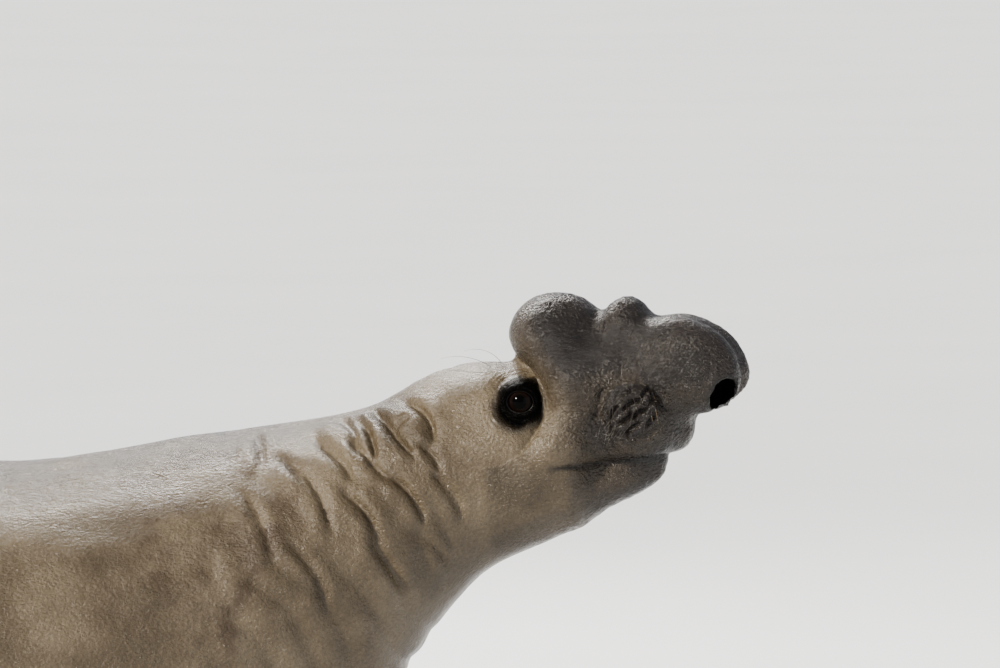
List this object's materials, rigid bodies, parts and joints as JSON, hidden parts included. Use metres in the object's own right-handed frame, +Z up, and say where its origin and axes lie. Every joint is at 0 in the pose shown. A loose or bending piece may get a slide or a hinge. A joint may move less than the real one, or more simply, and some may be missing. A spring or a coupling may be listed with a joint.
{
  "type": "bull elephant seal figure",
  "caption": "Life-size still bull elephant seal on its belly, head raised and trunk blown up into lobes, with flippers, claws and eyes as separate solids.",
  "frame": {"origin": "on the floor, under the middle of the seal's bounding box", "axes": "+X from the tail to the nose, +Y to the seal's left, +Z up"},
  "size_m": [4.9638, 1.8164, 1.2304],
  "materials": {
    "skin": "wet",
    "dark_skin": "wet",
    "flipper_skin": "damp",
    "eye": "glossy",
    "claw": "worn"
  },
  "bodies": {
    "root": {"head": "skin", "proboscis": "dark_skin", "muzzle": "dark_skin", "lower_jaw": "skin", "neck": "skin", "chest": "skin", "belly": "skin", "hips": "skin", "rump": "skin", "tail": "skin", "fore_flipper_left": "flipper_skin", "fore_flipper_right": "flipper_skin", "hind_flipper_left": "flipper_skin", "hind_flipper_right": "flipper_skin", "eye_left": "eye", "claw_left_1": "claw", "claw_left_2": "claw", "claw_left_3": "claw", "claw_left_4": "claw", "claw_left_5": "claw", "eye_right": "eye", "claw_right_1": "claw", "claw_right_2": "claw", "claw_right_3": "claw", "claw_right_4": "claw", "claw_right_5": "claw"}
  },
  "joints": []
}
